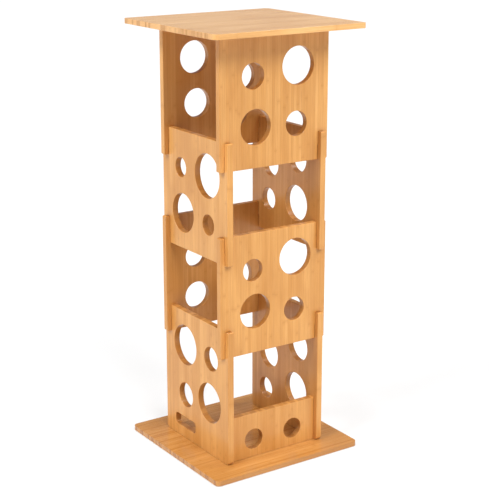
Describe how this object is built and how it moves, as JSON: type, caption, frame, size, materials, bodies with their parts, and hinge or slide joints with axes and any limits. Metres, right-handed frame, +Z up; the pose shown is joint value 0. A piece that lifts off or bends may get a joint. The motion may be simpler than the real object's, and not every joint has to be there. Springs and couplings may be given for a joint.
{
  "type": "wine rack",
  "caption": "Free-standing bamboo tower rack: crossed panels with round holes hold bottles lying on their side, between a base board and a top board with rounded corners.",
  "frame": {"origin": "on the floor under the middle of the rack", "axes": "+X to the right of a person facing the rack, -Y towards that person (front), +Z up"},
  "size_m": [0.402, 0.388, 1.0179],
  "materials": {
    "front_bamboo": "satin varnished strip bamboo, strips running upwards",
    "side_bamboo": "satin varnished strip bamboo, strips running upwards",
    "board_bamboo": "glossy varnished strip bamboo, strips running from left to right",
    "dowel_wood": "bare turned beech",
    "screw_zinc": "zinc-plated steel",
    "foot_rubber": "matt black rubber"
  },
  "bodies": {
    "root": {"top_board": "board_bamboo", "base_board": "board_bamboo", "upper_front_panel": "front_bamboo", "upper_back_panel": "front_bamboo", "upper_left_panel": "side_bamboo", "upper_right_panel": "side_bamboo", "lower_front_panel": "front_bamboo", "lower_back_panel": "front_bamboo", "lower_left_panel": "side_bamboo", "lower_right_panel": "side_bamboo", "bottom_front_panel": "front_bamboo", "dowel_front_left": "dowel_wood", "dowel_front_middle": "dowel_wood", "dowel_front_right": "dowel_wood", "dowel_back_left": "dowel_wood", "dowel_back_middle": "dowel_wood", "dowel_back_right": "dowel_wood", "screw_left_front": "screw_zinc", "screw_left_middle": "screw_zinc", "screw_left_back": "screw_zinc", "screw_right_front": "screw_zinc", "screw_right_middle": "screw_zinc", "screw_right_back": "screw_zinc", "screw_bottom_left": "screw_zinc", "screw_bottom_right": "screw_zinc", "foot_front_left": "foot_rubber", "foot_front_right": "foot_rubber", "foot_back_left": "foot_rubber", "foot_back_right": "foot_rubber"}
  },
  "joints": []
}
